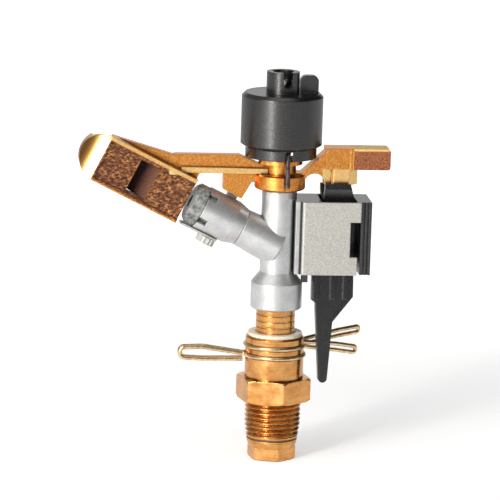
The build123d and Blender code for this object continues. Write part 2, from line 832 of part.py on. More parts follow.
# Spring cap: skirt and drum in one shell, with the pin boss inside and a slotted neck on top
with BuildPart() as spring_cap:
    with BuildSketch(Plane.XZ):
        with BuildLine():
            Polyline(
                (skirt_radius - cap_wall, skirt_bottom),
                (skirt_radius, skirt_bottom),
                (skirt_radius, drum_bottom - 0.6),
                (drum_radius, drum_bottom + 0.6),
                (drum_radius, drum_top - 1.2),
                (drum_radius - 1.2, drum_top),
                (neck_radius, drum_top),
                (neck_radius, neck_top),
                (neck_bore_radius, neck_top),
                (neck_bore_radius, neck_floor),
                (pin_radius + running_gap, neck_floor),
                (pin_radius + running_gap, cap_boss_bottom),
                (cap_boss_radius, cap_boss_bottom),
                (cap_boss_radius, drum_top - cap_wall),
                (drum_radius - cap_wall, drum_top - cap_wall),
                (drum_radius - cap_wall, drum_bottom + 0.6 + cap_wall),
                (skirt_radius - cap_wall, drum_bottom - 0.6 + cap_wall),
                close=True,
            )
        make_face()
    revolve(axis=Axis.Z)
    slot_x = (cos(radians(neck_slot_turn)), sin(radians(neck_slot_turn)), 0)
    slot_plane = Plane(origin=(0, 0, 0), x_dir=(-slot_x[1], slot_x[0], 0), z_dir=slot_x)
    slot_floor = neck_floor + 1.2
    with BuildSketch(slot_plane.offset(pin_radius)):
        with Locations((0, (slot_floor + neck_slot_width / 2 + neck_top) / 2)):
            Rectangle(neck_slot_width, neck_top - slot_floor - neck_slot_width / 2)
        with Locations((0, slot_floor + neck_slot_width / 2)):
            Circle(neck_slot_width / 2)
    extrude(amount=neck_radius, mode=Mode.SUBTRACT)
    with BuildSketch(Plane.XZ) as lug_face:
        with Locations(((lug_start + lug_length / 2), drum_top + lug_height / 2 - 0.2)):
            Rectangle(lug_length, lug_height + 0.4)
        fillet(lug_face.vertices().group_by(Axis.Y)[-1], 2.2)
    extrude(amount=lug_width / 2, both=True)
    with BuildSketch(Plane.XZ.offset(skirt_radius - 2.4)):
        with Locations((spring_tail_x, skirt_bottom + 1.8)):
            Rectangle(skirt_slit_width, 3.6)
    extrude(amount=4, mode=Mode.SUBTRACT)
finish(spring_cap, "spring_cap")

# Arm spring: coil round the pin boss, tail down in front of the hub
tail_angle = -37.0
spring_start = Vector(
    arm_spring_radius * cos(radians(tail_angle)), arm_spring_radius * sin(radians(tail_angle)), arm_spring_bottom
)
lead = arm_spring_pitch / (2 * 3.14159265 * arm_spring_radius)
spring_heading = Vector(-sin(radians(tail_angle)), cos(radians(tail_angle)), lead).normalized()
tail_run = sqrt(spring_tail_reach**2 - arm_spring_radius**2)
tail_corner = spring_start - spring_heading * tail_run
spring_coil = coil(
    arm_spring_radius, arm_spring_wire, arm_spring_pitch, arm_spring_pitch * arm_spring_turns, arm_spring_bottom
).rotate(Axis.Z, tail_angle)
with BuildPart() as arm_spring:
    add(spring_coil)
    with BuildLine():
        tail_path = FilletPolyline(
            spring_start, tail_corner, Vector(tail_corner.X, tail_corner.Y, spring_tail_bottom), radius=1.8
        )
    with BuildSketch(Plane(origin=tail_path @ 0, z_dir=tail_path % 0)):
        Circle(arm_spring_wire / 2)
    sweep(path=tail_path)
finish(arm_spring, "arm_spring")


def tilted(height, degrees):
    """Plane through a cross pin: local x along the pin, local y up the leaning part."""
    angle = radians(degrees)
    return Plane(origin=(0, 0, height), x_dir=(1, 0, 0), z_dir=(0, -cos(angle), -sin(angle)))


def end_on(height, degrees, start):
    """Plane square to a cross pin: local x towards +Y, local y up the leaning part."""
    angle = radians(degrees)
    return Plane(origin=(start, 0, height), x_dir=(0, cos(angle), sin(angle)), z_dir=(1, 0, 0))


# Mechanism housing: three walls and a slotted roof round the trip parts
with BuildPart() as mechanism_housing:
    with BuildSketch(Plane.XY.offset(housing_bottom)):
        with Locations(((pad_face + housing_right) / 2, (housing_front + housing_back) / 2)):
            Rectangle(housing_right - pad_face, housing_back - housing_front)
    extrude(amount=housing_top - housing_bottom)
    inner_left = pad_face + housing_inner_wall
    inner_right = housing_right - housing_end_wall
    inner_back = housing_back - housing_back_wall
    with BuildSketch(Plane.XY.offset(housing_bottom)):
        with Locations(((inner_left + inner_right) / 2, (housing_front + inner_back) / 2)):
            Rectangle(inner_right - inner_left, inner_back - housing_front)
    extrude(amount=housing_top - housing_bottom - 1.4, mode=Mode.SUBTRACT)
    with BuildSketch(Plane.XY.offset(housing_top - 2)):
        with Locations(((rocker_left + rocker_right) / 2, (housing_front + inner_back) / 2)):
            Rectangle(rocker_right - rocker_left + 2, inner_back - housing_front)
    extrude(amount=2, mode=Mode.SUBTRACT)
    with BuildSketch(Plane.XY.offset(housing_bottom)):
        for rib in range(end_rib_count - 1):
            with Locations((inner_right + (rib + 1) * housing_end_wall / end_rib_count, housing_front)):
                Rectangle(0.5, 2 * end_rib_depth)
    extrude(amount=housing_top - housing_bottom, mode=Mode.SUBTRACT)
    with BuildSketch(Plane.YZ.offset(pad_face)):
        with Locations((0, lever_pin_height), (0, rocker_pin_height)):
            Circle(cross_pin_radius + running_gap / 3)
    extrude(amount=housing_right - pad_face, mode=Mode.SUBTRACT)
    with BuildSketch(Plane.YZ.offset(pad_face)):
        with Locations((screw_offset, pad_bottom + 6), (screw_offset, pad_top - 6)):
            Circle(housing_screw_radius + running_gap / 3)
    extrude(amount=housing_inner_wall, mode=Mode.SUBTRACT)
    with BuildSketch(Plane.XY.offset(housing_bottom - 3)):
        with Locations((pad_face + 2.4, housing_front + 2)):
            Rectangle(2.2, 3.6)
    extrude(amount=3)
finish(mechanism_housing, "mechanism_housing")

# Front plate with its notch, its outer left edge rounded
with BuildPart() as front_plate:
    with BuildSketch(Plane.XZ.offset(-housing_front)):
        with BuildLine():
            Polyline(
                (plate_left, housing_bottom),
                (plate_right - plate_foot_step, housing_bottom),
                (plate_right - plate_foot_step, plate_notch_bottom),
                (plate_right - plate_notch_depth, plate_notch_bottom),
                (plate_right - plate_notch_depth, plate_notch_top),
                (plate_right, plate_notch_top),
                (plate_right, housing_top),
                (plate_left, housing_top),
                close=True,
            )
        make_face()
    extrude(amount=front_plate_thickness)
    fillet(front_plate.edges().filter_by(Axis.Z).sort_by(Axis.X)[:2].sort_by(Axis.Y)[0], 0.9)
finish(front_plate, "front_plate")


def cross_pin(label, height):
    """Plain pin from the casting's pad through both housing walls."""
    with BuildPart() as pin:
        with BuildSketch(Plane.YZ.offset(pad_inner + 0.3)):
            with Locations((0, height)):
                Circle(cross_pin_radius)
        extrude(amount=housing_right - pad_inner - 0.3)
    return finish(pin, label)


cross_pin("lever_pin", lever_pin_height)
cross_pin("rocker_pin", rocker_pin_height)

# Two screws through the pad's rear edge into the housing
with BuildPart() as housing_screws:
    with BuildSketch(Plane.YZ.offset(pad_inner)):
        with Locations((screw_offset, pad_bottom + 6), (screw_offset, pad_top - 6)):
            Circle(housing_screw_radius)
    extrude(amount=pad_face - pad_inner + housing_inner_wall)
    with BuildSketch(Plane.YZ.offset(pad_inner)):
        with Locations((screw_offset, pad_bottom + 6), (screw_offset, pad_top - 6)):
            Circle(housing_screw_head)
    extrude(amount=-1.1)
finish(housing_screws, "housing_screws")

# Trip lever: ribbed yoke on its pin, finger down between the stop clips
lever_plane = tilted(lever_pin_height, lever_tilt)
with BuildPart() as trip_lever:
    with BuildSketch(lever_plane):
        with BuildLine():
            Polyline(
                (finger_left + 1.6, finger_tip + 1.6),
                (finger_left, -17),
                (finger_left, -15.4),
                (lever_left, -14.4),
                (lever_left, -4.6),
                (lever_right, -4.6),
                (lever_right, -13),
                (finger_right, -22.6),
                (finger_right - 1.6, finger_tip + 1.6),
            )
            ThreePointArc(
                (finger_right - 1.6, finger_tip + 1.6),
                ((finger_left + finger_right) / 2, finger_tip),
                (finger_left + 1.6, finger_tip + 1.6),
            )
        make_face()
    extrude(amount=lever_half_thickness, both=True)
    for start in (lever_left + 0.4, (lever_left + lever_right) / 2 - 1, lever_right - 4):
        with BuildSketch(end_on(lever_pin_height, lever_tilt, start)):
            Circle(lever_half_thickness + lever_rib_proud)
            with Locations((0, -7)):
                Rectangle(2 * (lever_half_thickness + lever_rib_proud), 14)
        extrude(amount=2)
    with BuildSketch(end_on(lever_pin_height, lever_tilt, (lever_left + lever_right) / 2 - 1)):
        with Locations((0, 3)):
            Rectangle(2.4, 5.4)
    extrude(amount=2)
    with BuildSketch(end_on(lever_pin_height, lever_tilt, lever_left - 1)):
        Circle(cross_pin_radius + running_gap)
    extrude(amount=lever_right - lever_left + 2, mode=Mode.SUBTRACT)
finish(trip_lever, "trip_lever")

# Rocker: two horns with a valley that clears the arm's hammer, a tail for the toggle spring
with BuildPart() as rocker:
    with BuildSketch(end_on(rocker_pin_height, rocker_tilt, rocker_left)):
        with BuildLine():
            Polyline(
                (-1.2, -5.5), (1.2, -5.5), (1.2, -3), (3, -2), (6.2, 4.5), (8.5, 9), (8.5, 11.2), (6.5, 11.2),
                (5.6, 8.6), (0, 5.4), (-5.6, 8.6), (-6.5, 11.2), (-8.5, 11.2), (-8.5, 9), (-6.2, 4.5), (-3, -2),
                (-1.2, -3), close=True,
            )
        make_face()
        Circle(cross_pin_radius + running_gap, mode=Mode.SUBTRACT)
    extrude(amount=rocker_right - rocker_left)
    with BuildSketch(tilted(rocker_pin_height, rocker_tilt)):
        with BuildLine():
            Polyline(
                (rocker_left, -6), (rocker_right, -6), (rocker_right, 5), (rocker_top_right, 12),
                (rocker_left, 12), close=True,
            )
        make_face()
    extrude(amount=12, both=True, mode=Mode.INTERSECT)
finish(rocker, "rocker")

# Toggle spring between the lever's top and the rocker's tail
toggle_low = lever_pin_height + 5.7 + toggle_spring_wire / 2 + seat_gap
toggle_high = rocker_pin_height - 5.5 - toggle_spring_wire / 2 - seat_gap
toggle_coil = coil(
    toggle_spring_radius,
    toggle_spring_wire,
    toggle_spring_pitch,
    toggle_high - toggle_low - 0.2,
    toggle_low,
    ((lever_left + lever_right) / 2, 0),
)
with BuildPart() as toggle_spring:
    add(toggle_coil)
finish(toggle_spring, "toggle_spring")
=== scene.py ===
import json
from math import cos, pi, radians, sin, tau

import bmesh
import bpy
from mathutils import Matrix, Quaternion, Vector


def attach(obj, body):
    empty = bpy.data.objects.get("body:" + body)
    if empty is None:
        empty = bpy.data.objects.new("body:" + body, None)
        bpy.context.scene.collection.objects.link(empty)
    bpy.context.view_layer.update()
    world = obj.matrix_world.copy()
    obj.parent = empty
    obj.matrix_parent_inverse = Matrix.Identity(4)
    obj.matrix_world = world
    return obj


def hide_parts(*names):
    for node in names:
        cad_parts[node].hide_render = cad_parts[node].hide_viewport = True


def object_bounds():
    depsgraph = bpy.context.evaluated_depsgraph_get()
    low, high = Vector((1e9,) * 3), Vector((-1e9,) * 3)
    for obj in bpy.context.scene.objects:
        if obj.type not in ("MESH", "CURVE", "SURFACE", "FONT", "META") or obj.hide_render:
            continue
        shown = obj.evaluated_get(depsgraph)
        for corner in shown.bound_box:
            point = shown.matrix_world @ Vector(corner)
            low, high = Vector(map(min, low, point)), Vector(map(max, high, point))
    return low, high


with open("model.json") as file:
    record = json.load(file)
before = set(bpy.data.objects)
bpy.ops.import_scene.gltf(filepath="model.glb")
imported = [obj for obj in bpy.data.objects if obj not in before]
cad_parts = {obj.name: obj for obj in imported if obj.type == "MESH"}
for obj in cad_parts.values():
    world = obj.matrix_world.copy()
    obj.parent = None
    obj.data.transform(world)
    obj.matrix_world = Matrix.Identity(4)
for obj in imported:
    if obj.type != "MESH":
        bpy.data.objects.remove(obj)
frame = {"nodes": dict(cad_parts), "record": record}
cad_low, cad_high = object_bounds()
MM = 0.001

# Camera: a long lens from the front, a little to the left and above
PHOTO_PIXELS = 500
PIXEL_SIZE = 0.374 * MM
CAMERA_AZIMUTH = radians(-6)
CAMERA_ELEVATION = radians(11)
CAMERA_ROLL = radians(1.8)
CAMERA_DISTANCE = 1.6
CAMERA_NEAR = 0.01
CAMERA_FAR = 50
PICTURE_CENTRE = Vector((-10.4, 0, 56.8)) * MM
SENSOR_WIDTH = 36.0

# Jet and spoon as in the frame, along the jet, out of the spoon's face and square to both
JET_HEIGHT = 58.6 * MM
JET_RISE = radians(26.5)
SPOON_START = 39.4 * MM
SPOON_END = 83.0 * MM
SPOON_RIM = 7.55 * MM
LOWER_RIM_SKIN = 0.9 * MM
RIM_DEPTH = -4.4 * MM
PLATE_FACE = -6.3 * MM
LIP_START = 75.3 * MM
WINDOW_START = 52.4 * MM
WINDOW_END = 61.6 * MM
WINDOW_LOW = -6.9 * MM
WINDOW_HIGH = 6.1 * MM

# Arm's bar, hammer and weight as in the frame
BEAD_FACE = -2.2 * MM
BEAD_BOTTOM = 86.0 * MM
BEAD_LEFT = -42 * MM
BEAD_RIGHT = -5 * MM
HAMMER_LEFT = 15.5 * MM
HAMMER_RIGHT = 29.5 * MM
HAMMER_BOTTOM = 82 * MM
HAMMER_TOP = 88.6 * MM
WEIGHT_START = 26.8 * MM
WEIGHT_BOTTOM = 88.2 * MM
WEIGHT_TOP_EDGE = 95.3 * MM

# Bearing nipple as in the frame
THREAD_RADIUS = 10.48 * MM
THREAD_PITCH = 1.814 * MM
THREAD_DEPTH = 0.95 * MM
THREAD_END = -13.5 * MM
THREAD_TAPER = 4.5 * MM
THREAD_TIP_RADIUS = 9.9 * MM
THREAD_FADE_START = 0.3 * MM
THREAD_FADE_LENGTH = 0.9 * MM
CREST_FLAT = 0.12
FLANK_SHARE = 0.76
HEX_WIDTH = 25.0 * MM
HEX_HEIGHT = 8.7 * MM
HEX_CHAMFER = 1.0 * MM
CHAMFER_SLOPE = 0.577
HEX_TURN = radians(-18.8)
NIPPLE_RADIUS = 11.0 * MM
NIPPLE_TOP = 24.6 * MM
NIPPLE_CHAMFER = 0.6 * MM
CLIP_HEIGHTS = (17.4 * MM, 21.0 * MM)
CLIP_GROOVE = 0.9 * MM
COUNTERBORE_RADIUS = 9.0 * MM
COUNTERBORE_FLOOR = 9.5 * MM
NIPPLE_BORE = 6.26 * MM
NIPPLE_SIDES = 240
THREAD_ROW = 0.15 * MM
STEP_ROW = 0.01 * MM
SHARP_ANGLE = radians(35)

# Studio
LIGHT_AIM = Vector((0, 0, 60)) * MM
ROOM_LIGHT = 0.32
FLOOR_SIZE = 6.0
FLOOR_GAP = 0.05 * MM
FLOOR_GLOSS = 0.35

WHITE = (1, 1, 1)


def toward(azimuth, elevation):
    """Unit vector from the object to a viewer at that azimuth and elevation."""
    return Vector((sin(azimuth) * cos(elevation), -cos(azimuth) * cos(elevation), sin(elevation)))


def make_camera():
    data = bpy.data.cameras.new("camera")
    data.sensor_width = SENSOR_WIDTH
    data.lens = SENSOR_WIDTH * CAMERA_DISTANCE / (PHOTO_PIXELS * PIXEL_SIZE)
    data.clip_start, data.clip_end = CAMERA_NEAR, CAMERA_FAR
    camera = bpy.data.objects.new("camera", data)
    bpy.context.scene.collection.objects.link(camera)
    back = toward(CAMERA_AZIMUTH, CAMERA_ELEVATION)
    camera.location = PICTURE_CENTRE + back * CAMERA_DISTANCE
    camera.rotation_mode = "QUATERNION"
    camera.rotation_quaternion = (-back).to_track_quat("-Z", "Y") @ Quaternion((0, 0, 1), CAMERA_ROLL)
    bpy.context.scene.camera = camera


class Graph:
    """A node tree that is written as expressions: each call adds a node and returns its output."""

    def __init__(self, tree):
        self.tree = tree
        tree.nodes.clear()

    def add(self, kind, inputs=None, **settings):
        """New node with its settings and inputs. This one returns the node itself."""
        node = self.tree.nodes.new(kind)
        for name, value in settings.items():
            setattr(node, name, value)
        for name, value in (inputs or {}).items():
            self.feed(node.inputs[name], value)
        return node

    def feed(self, socket, value):
        """Link an output to the socket, or set the socket to a plain value."""
        if isinstance(value, bpy.types.NodeSocket):
            self.tree.links.new(value, socket)
        elif isinstance(value, tuple) and len(value) == 3 and socket.type == "RGBA":
            socket.default_value = (*value, 1)
        else:
            socket.default_value = value

    def math(self, operation, first, second=0.0, third=0.0):
        inputs = {0: first, 1: second, 2: third}
        return self.add("ShaderNodeMath", inputs, operation=operation).outputs[0]

    def vector_math(self, operation, first, second):
        return self.add("ShaderNodeVectorMath", {0: first, 1: second}, operation=operation).outputs[0]

    def noise(self, vector, scale, detail=3.0, roughness=0.55):
        inputs = {"Vector": vector, "Scale": scale, "Detail": detail, "Roughness": roughness}
        return self.add("ShaderNodeTexNoise", inputs).outputs["Fac"]

    def stretch(self, vector, scale, turn=(0, 0, 0)):
        inputs = {"Vector": vector, "Scale": scale, "Rotation": turn}
        return self.add("ShaderNodeMapping", inputs).outputs["Vector"]

    def ramp(self, factor, *stops):
        """Colour ramp from (position, colour) pairs."""
        node = self.add("ShaderNodeValToRGB", {"Fac": factor})
        elements = node.color_ramp.elements
        while len(elements) < len(stops):
            elements.new(0.5)
        for element, (position, colour) in zip(elements, stops):
            element.position = position
            element.color = (*colour, 1)
        return node.outputs["Color"]

    def span(self, value, low, high, to_low=0.0, to_high=1.0):
        """Value mapped smoothly from one span onto another."""
        inputs = {"Value": value, "From Min": low, "From Max": high, "To Min": to_low, "To Max": to_high}
        return self.add("ShaderNodeMapRange", inputs, interpolation_type="SMOOTHSTEP").outputs["Result"]

    def band(self, value, low, high, blend=0.25 * MM):
        """1 where the value lies between two places, 0 outside, with a short blend."""
        rising = self.span(value, low - blend, low + blend)
        return self.math("MULTIPLY", rising, self.span(value, high + blend, high - blend))

    def product(self, *shares):
        """Where several conditions hold together."""
        result = shares[0]
        for share in shares[1:]:
            result = self.math("MULTIPLY", result, share)
        return result

    def mix(self, factor, first, second):
        node = self.add("ShaderNodeMix", data_type="RGBA")
        self.feed(node.inputs["Factor"], factor)
        self.feed(node.inputs[6], first)
        self.feed(node.inputs[7], second)
        return node.outputs[2]

    def corner_shade(self, distance):
        """Painted shade mask: 0 in corners, grooves and between parts, where ambient occlusion finds
        them, 1 on open faces.
        """
        open_sky = self.add("ShaderNodeAmbientOcclusion", {"Distance": distance}, samples=4).outputs["AO"]
        return self.span(open_sky, 0.35, 0.8)

    def soft_edges(self, radius):
        return self.add("ShaderNodeBevel", {"Radius": radius}, samples=6).outputs["Normal"]

    def bump(self, height, distance, normal=None):
        inputs = {"Height": height, "Distance": distance, "Strength": 1.0}
        if normal is not None:
            inputs["Normal"] = normal
        return self.add("ShaderNodeBump", inputs).outputs["Normal"]


def new_material(name):
    material = bpy.data.materials.new(name)
    material.use_nodes = True
    return material, Graph(material.node_tree)


def place_of(graph):
    """Coordinates in the frame's own metres, which ride with the piece."""
    return graph.add("ShaderNodeTexCoord").outputs["Object"]


def parts_of(graph, vector):
    node = graph.add("ShaderNodeSeparateXYZ", {"Vector": vector})
    return node.outputs["X"], node.outputs["Y"], node.outputs["Z"]


def close_material(graph, **inputs):
    shader = graph.add("ShaderNodeBsdfPrincipled")
    for name, value in inputs.items():
        graph.feed(shader.inputs[name.replace("_", " ")], value)
    output = graph.add("ShaderNodeOutputMaterial")
    graph.tree.links.new(shader.outputs[0], output.inputs["Surface"])


def machined_brass():
    """Turned brass: fine rings round the axis, a warm tarnish in broad patches, painted shade in grooves
    and corners.
    """
    material, graph = new_material("machined_brass")
    place = place_of(graph)
    rings = graph.noise(graph.stretch(place, (1, 1, 60)), 90, 2)
    patches = graph.noise(place, 240, 4)
    colour = graph.ramp(
        patches,
        (0.3, (0.56, 0.24, 0.07)),
        (0.5, (0.78, 0.38, 0.12)),
        (0.72, (0.90, 0.52, 0.20)),
    )
    colour = graph.mix(graph.span(rings, 0.35, 0.65, 0.0, 0.35), colour, (0.42, 0.17, 0.05))
    # Painted shade: dark brown where ambient occlusion finds corners, grooves and gaps between parts.
    colour = graph.mix(graph.corner_shade(1.2 * MM), (0.16, 0.05, 0.015), colour)
    normal = graph.bump(rings, 0.008 * MM, graph.soft_edges(0.25 * MM))
    roughness = graph.span(patches, 0.3, 0.7, 0.18, 0.32)
    close_material(graph, Base_Color=colour, Metallic=1.0, Roughness=roughness, Normal=normal)
    return material


def jet_frame(graph, place):
    """Coordinates along the jet, out towards +Y and square to the jet, upwards."""
    moved = graph.vector_math("ADD", place, Vector((0, 0, -JET_HEIGHT)))
    inputs = {"Vector": moved, "Angle": -JET_RISE}
    turned = graph.add("ShaderNodeVectorRotate", inputs, rotation_type="Y_AXIS").outputs[0]
    return graph.vector_math("MULTIPLY", turned, (-1, 1, 1))


def spoon_skin_and_shade(graph, place):
    """Flaky cast skin with golden specks, darkened to brown with painted shade, and the flakes that make
    its relief.
    """
    flakes = graph.noise(graph.stretch(place, (1, 1, 1.7), (0, radians(30), 0)), 750, 5, 0.75)
    colour = graph.ramp(
        flakes,
        (0.38, (0.030, 0.009, 0.006)),
        (0.47, (0.14, 0.048, 0.020)),
        (0.54, (0.34, 0.13, 0.045)),
        (0.60, (0.58, 0.27, 0.09)),
        (0.68, (0.86, 0.58, 0.24)),
    )
    patches = graph.noise(place, 160, 3)
    return graph.mix(graph.span(patches, 0.42, 0.6, 0.0, 0.6), colour, (0.10, 0.032, 0.018)), flakes


def lip_highlight(graph, along):
    """Painted highlight on the polished lip: nearly white at its crease, darker orange to the tip."""
    return graph.ramp(
        graph.span(along, LIP_START, SPOON_END),
        (0.0, (1.0, 0.93, 0.74)),
        (0.30, (1.0, 0.84, 0.48)),
        (0.50, (0.96, 0.60, 0.20)),
        (0.85, (0.80, 0.40, 0.10)),
        (1.0, (0.42, 0.17, 0.04)),
    )


def vane_shade(graph, along):
    """Painted shade on the vane in the window: brown at its front edge, nearly black at the back."""
    return graph.ramp(
        graph.span(along, WINDOW_START, WINDOW_END),
        (0.1, (0.20, 0.09, 0.055)),
        (0.5, (0.09, 0.036, 0.028)),
        (0.9, (0.03, 0.012, 0.014)),
    )


def cast_brass():
    """Sand-cast arm: flaky skin in the spoon darkened with painted shade, painted highlights on the
    polished lip, rim, bead and hammer, painted shade on the weight and on the vane in the window.
    """
    material, graph = new_material("cast_brass")
    place = place_of(graph)
    x, y, z = parts_of(graph, place)
    along, out, across = parts_of(graph, jet_frame(graph, place))
    edge = 0.2 * MM
    grain = graph.noise(place, 1500, 4, 0.65)
    # The skin colour is flaky cast skin, darkened with painted shade across the spoon.
    skin, flakes = spoon_skin_and_shade(graph, place)
    orange = graph.ramp(
        grain,
        (0.3, (0.52, 0.17, 0.035)),
        (0.5, (0.78, 0.31, 0.065)),
        (0.7, (0.93, 0.50, 0.15)),
    )
    # Painted highlight: a paler copy of the brass for faces that catch the light.
    lit_brass = graph.ramp(
        grain,
        (0.3, (0.88, 0.48, 0.15)),
        (0.5, (0.96, 0.62, 0.24)),
        (0.7, (0.99, 0.74, 0.38)),
    )
    # Painted shade: a darker copy of the brass for the weight.
    shaded_brass = graph.ramp(
        grain,
        (0.34, (0.16, 0.045, 0.02)),
        (0.5, (0.36, 0.12, 0.05)),
        (0.68, (0.58, 0.24, 0.10)),
    )

    bowl = graph.product(
        graph.band(across, -SPOON_RIM - LOWER_RIM_SKIN, SPOON_RIM),
        graph.band(along, SPOON_START - 2 * MM, LIP_START),
    )
    # Painted shade inside the window, on the vane behind the plate.
    vane_shade_mask = graph.product(
        graph.band(along, WINDOW_START + edge, WINDOW_END - edge),
        graph.band(across, WINDOW_LOW + edge, WINDOW_HIGH - edge),
        graph.span(out, PLATE_FACE + 0.05 * MM, PLATE_FACE + 0.5 * MM),
    )
    # Painted highlight from the lip's crease to its tip.
    lip_highlight_mask = graph.span(along, LIP_START - edge, LIP_START + edge)
    # Painted highlights on the bead, the rim and the hammer; painted shade on the weight, with a painted
    # highlight on its top edge.
    bead = graph.product(
        graph.span(y, BEAD_FACE, BEAD_FACE - 0.3 * MM),
        graph.span(z, BEAD_BOTTOM, BEAD_BOTTOM + 0.4 * MM),
        graph.band(x, BEAD_LEFT, BEAD_RIGHT),
    )
    rim = graph.product(
        graph.span(across, SPOON_RIM - 0.1 * MM, SPOON_RIM + edge),
        graph.span(along, SPOON_START - 1.4 * MM, SPOON_START - 0.4 * MM),
        graph.span(out, RIM_DEPTH, RIM_DEPTH - 0.4 * MM),
    )
    hammer = graph.product(
        graph.band(x, HAMMER_LEFT, HAMMER_RIGHT),
        graph.band(z, HAMMER_BOTTOM, HAMMER_TOP),
    )
    weight = graph.product(
        graph.span(x, WEIGHT_START, WEIGHT_START + 0.4 * MM),
        graph.span(z, WEIGHT_BOTTOM, WEIGHT_BOTTOM + 0.4 * MM),
    )
    weight_top_highlight = graph.product(weight, graph.span(z, WEIGHT_TOP_EDGE, WEIGHT_TOP_EDGE + 0.5 * MM))

    colour = graph.mix(bowl, orange, skin)
    colour = graph.mix(vane_shade_mask, colour, vane_shade(graph, along))
    colour = graph.mix(lip_highlight_mask, colour, lip_highlight(graph, along))
    colour = graph.mix(bead, colour, lit_brass)
    colour = graph.mix(graph.math("MULTIPLY", rim, 0.75), colour, lit_brass)
    colour = graph.mix(hammer, colour, lit_brass)
    colour = graph.mix(weight, colour, shaded_brass)
    colour = graph.mix(weight_top_highlight, colour, lit_brass)
    # Painted shade: dark brown in corners and between parts.
    colour = graph.mix(graph.corner_shade(1.5 * MM), (0.20, 0.06, 0.02), colour)

    rough = graph.math("MAXIMUM", bowl, weight)
    height = graph.math("MULTIPLY", graph.math("ADD", flakes, grain), graph.span(rough, 0, 1, 0.2, 1.0))
    close_material(
        graph,
        Base_Color=colour,
        Metallic=graph.span(rough, 0, 1, 1.0, 0.6),
        Roughness=graph.span(rough, 0, 1, 0.33, 0.5),
        Normal=graph.bump(height, 0.22 * MM, graph.soft_edges(0.35 * MM)),
    )
    return material


def cast_alloy():
    """Die-cast light alloy: a fine satin grain with darker specks, and painted shade in its corners."""
    material, graph = new_material("cast_alloy")
    place = place_of(graph)
    grain = graph.noise(place, 2600, 3, 0.6)
    patches = graph.noise(place, 150, 4)
    colour = graph.ramp(patches, (0.35, (0.60, 0.61, 0.62)), (0.65, (0.74, 0.75, 0.75)))
    colour = graph.mix(graph.span(grain, 0.5, 0.3, 0.0, 0.45), colour, (0.30, 0.30, 0.31))
    # Painted shade: dark grey in corners and between parts.
    colour = graph.mix(graph.corner_shade(2.0 * MM), (0.10, 0.10, 0.10), colour)
    normal = graph.bump(grain, 0.025 * MM, graph.soft_edges(0.4 * MM))
    close_material(graph, Base_Color=colour, Metallic=0.85, Roughness=0.42, Normal=normal)
    return material


def plate_alloy():
    """Blasted sheet: light warm grey with a fine even grain."""
    material, graph = new_material("plate_alloy")
    grain = graph.noise(place_of(graph), 3200, 2, 0.6)
    colour = graph.ramp(
        grain,
        (0.3, (0.40, 0.39, 0.36)),
        (0.55, (0.60, 0.59, 0.55)),
        (0.75, (0.76, 0.75, 0.71)),
    )
    normal = graph.bump(grain, 0.05 * MM, graph.soft_edges(0.5 * MM))
    close_material(graph, Base_Color=colour, Metallic=0.6, Roughness=0.5, Normal=normal)
    return material


def nozzle_grey():
    """Moulded nozzle tip: mottled grey."""
    material, graph = new_material("nozzle_grey")
    mottle = graph.noise(place_of(graph), 700, 4, 0.65)
    colour = graph.ramp(
        mottle,
        (0.35, (0.12, 0.13, 0.13)),
        (0.52, (0.32, 0.33, 0.32)),
        (0.68, (0.60, 0.60, 0.57)),
    )
    normal = graph.bump(mottle, 0.06 * MM, graph.soft_edges(0.3 * MM))
    close_material(graph, Base_Color=colour, Metallic=0.3, Roughness=0.42, Normal=normal)
    return material


def black_plastic():
    """Moulded black plastic with a satin, slightly stippled skin."""
    material, graph = new_material("black_plastic")
    place = place_of(graph)
    stipple = graph.noise(place, 2200, 2, 0.5)
    patches = graph.noise(place, 130, 3)
    colour = graph.ramp(patches, (0.3, (0.004, 0.0035, 0.004)), (0.7, (0.008, 0.007, 0.007)))
    normal = graph.bump(stipple, 0.009 * MM, graph.soft_edges(0.5 * MM))
    roughness = graph.span(stipple, 0.3, 0.7, 0.26, 0.34)
    close_material(graph, Base_Color=colour, Roughness=roughness, IOR=1.75, Normal=normal)
    return material


def wire(name, low, high, roughness):
    """Drawn wire: a clean metal with small dull streaks."""
    material, graph = new_material(name)
    streaks = graph.noise(place_of(graph), 600, 3)
    colour = graph.ramp(streaks, (0.35, low), (0.65, high))
    normal = graph.bump(streaks, 0.01 * MM)
    close_material(graph, Base_Color=colour, Metallic=1.0, Roughness=roughness, Normal=normal)
    return material


def moulded(name, low, high, roughness, grain_scale=1500, transmission=0.0):
    """Plain moulded plastic or rubber with a faint grain."""
    material, graph = new_material(name)
    grain = graph.noise(place_of(graph), grain_scale, 3)
    close_material(
        graph,
        Base_Color=graph.ramp(grain, (0.35, low), (0.65, high)),
        Roughness=roughness,
        Normal=graph.bump(grain, 0.03 * MM, graph.soft_edges(0.2 * MM)),
        Transmission_Weight=transmission,
    )
    return material


